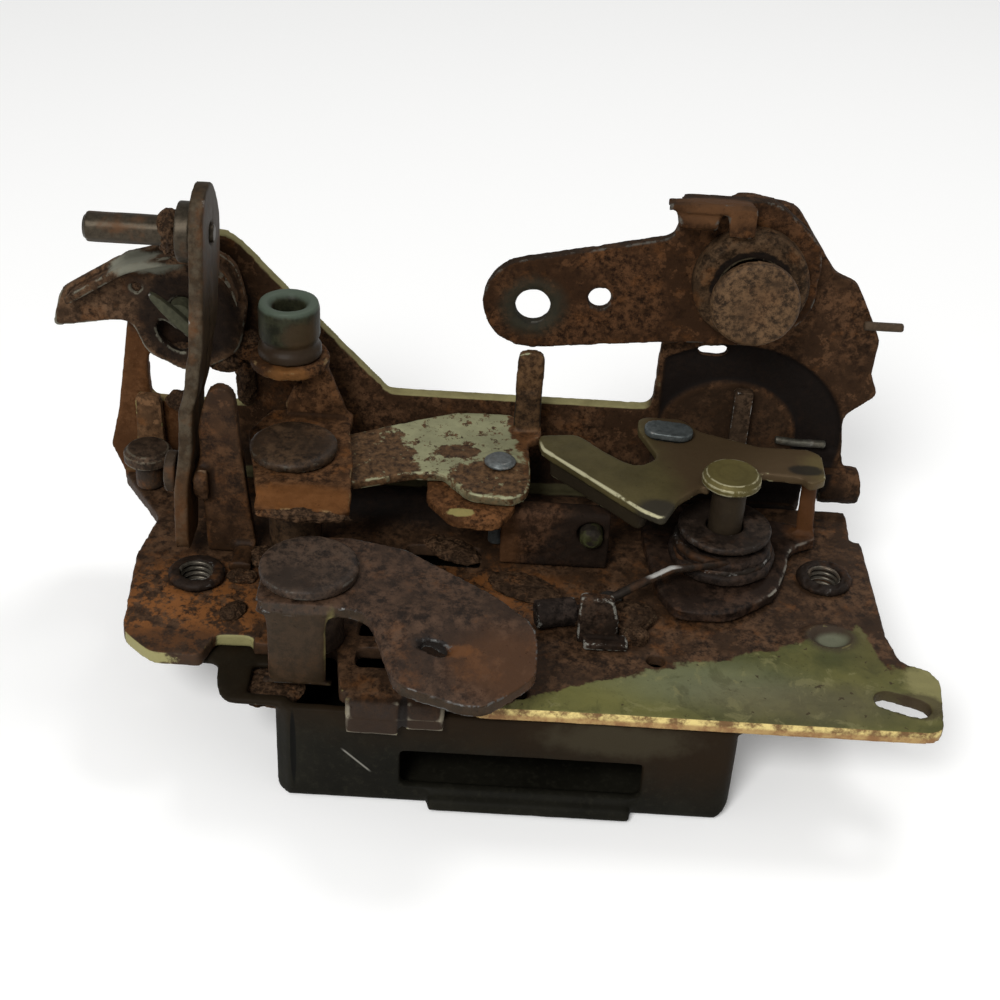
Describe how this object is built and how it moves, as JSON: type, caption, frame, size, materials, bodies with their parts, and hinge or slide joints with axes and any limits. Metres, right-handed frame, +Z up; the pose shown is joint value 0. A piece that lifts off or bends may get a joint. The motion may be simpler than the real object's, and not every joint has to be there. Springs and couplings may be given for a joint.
{
  "type": "vehicle door latch",
  "caption": "Rotary-claw vehicle door latch: claw housing, riveted lever plates, return spring, rod levers and an upright back plate.",
  "frame": {"origin": "centre of the claw housing's flat underside", "axes": "+X along the face plate towards its slotted ear, +Y from the striker side towards the upright back plate, +Z up from the housing through the face plate"},
  "size_m": [0.1467, 0.0737, 0.0807],
  "materials": {
    "rusted_steel": "rough orange-brown rust over pressed steel",
    "dark_rusted_steel": "smooth dark brown worn steel",
    "yellow_zinc": "satin yellow zinc plating, stained by rust",
    "pale_zinc": "pale grey-green zinc plating flaking to brown",
    "housing_black": "worn black coating with brown dust",
    "bare_steel": "bare oiled steel",
    "rivet_grey": "blue-grey worn rivet",
    "bush_green": "mottled green plastic",
    "rubber_black": "matt black rubber"
  },
  "bodies": {
    "root": {"face_plate": "yellow_zinc", "thread_collar_right": "bare_steel", "thread_collar_left": "bare_steel", "back_plate": "rusted_steel", "housing": "housing_black", "claw_pivot": "bare_steel", "pawl_pivot": "bare_steel", "striker_buffer": "rubber_black", "release_pivot": "dark_rusted_steel", "crank_pivot": "dark_rusted_steel", "link_pivot": "rivet_grey", "spring_pin": "yellow_zinc", "spring_washer": "bare_steel", "torsion_spring": "dark_rusted_steel", "spring_anchor": "dark_rusted_steel", "spring_sleeve": "dark_rusted_steel", "stop_block": "rusted_steel", "stop_pin": "yellow_zinc", "remote_bracket": "rusted_steel", "remote_pivot": "bare_steel", "ear_stud": "dark_rusted_steel", "ear_tab": "rusted_steel", "beak_pivot": "bare_steel", "key_pivot": "rusted_steel", "side_pin": "rusted_steel", "lock_bar": "rusted_steel", "clip_wire": "rivet_grey", "claw_spring": "bare_steel", "pawl_spring": "bare_steel"},
    "claw": {"claw": "bare_steel"},
    "pawl": {"pawl": "bare_steel"},
    "release_lever": {"release_lever": "dark_rusted_steel"},
    "crank_lever": {"crank_lever": "rusted_steel", "rod_bushing": "bush_green"},
    "link_lever": {"link_lever": "pale_zinc", "link_lower_plate": "rusted_steel"},
    "fork_lever": {"fork_plate": "yellow_zinc", "fork_rivet": "rivet_grey", "cam_lever": "rusted_steel"},
    "key_lever": {"key_lever": "rusted_steel", "key_collar": "rusted_steel"},
    "remote_lever": {"remote_lever": "dark_rusted_steel", "rod_pin": "bare_steel"},
    "beak_lever": {"beak_lever": "rusted_steel"}
  },
  "joints": [
    {"name": "claw_turn", "type": "hinge", "parent": "root", "child": "claw", "pos_m": [0.0158, 0.0035, 0.0072], "axis": [0, 0, 1], "range_deg": [0, 55], "stiffness_Nm_per_rad": 0.03},
    {"name": "pawl_turn", "type": "hinge", "parent": "root", "child": "pawl", "pos_m": [-0.0062, 0.0165, 0.0072], "axis": [0, 0, 1], "range_deg": [-18, 0], "stiffness_Nm_per_rad": 0.02},
    {"name": "release_lever_turn", "type": "hinge", "parent": "root", "child": "release_lever", "pos_m": [-0.0312, -0.0115, 0.0322], "axis": [0, 0, 1], "range_deg": [-8, 4], "stiffness_Nm_per_rad": 0.1},
    {"name": "crank_lever_turn", "type": "hinge", "parent": "root", "child": "crank_lever", "pos_m": [-0.0369, 0.0135, 0.038], "axis": [0, 0, 1], "range_deg": [-6, 3], "stiffness_Nm_per_rad": 0.1},
    {"name": "link_lever_turn", "type": "hinge", "parent": "root", "child": "link_lever", "pos_m": [-0.0034, 0.0177, 0.0354], "axis": [0, 0, 1], "range_deg": [-6, 4], "stiffness_Nm_per_rad": 0.1},
    {"name": "fork_lever_turn", "type": "hinge", "parent": "root", "child": "fork_lever", "pos_m": [0.0341, 0.012, 0.0374], "axis": [0, 0, 1], "range_deg": [-9, 0], "stiffness_Nm_per_rad": 0.1},
    {"name": "key_lever_turn", "type": "hinge", "parent": "root", "child": "key_lever", "pos_m": [0.0353, 0.0327, 0.066], "axis": [0, 1, 0], "range_deg": [-12, 12], "stiffness_Nm_per_rad": 0.6},
    {"name": "remote_lever_turn", "type": "hinge", "parent": "root", "child": "remote_lever", "pos_m": [-0.0554, 0.0125, 0.0347], "axis": [1, 0, 0], "range_deg": [0, 18], "stiffness_Nm_per_rad": 0.6},
    {"name": "beak_lever_turn", "type": "hinge", "parent": "root", "child": "beak_lever", "pos_m": [-0.0582, 0.0339, 0.0537], "axis": [0, 1, 0], "range_deg": [-10, 10], "stiffness_Nm_per_rad": 0.6}
  ]
}
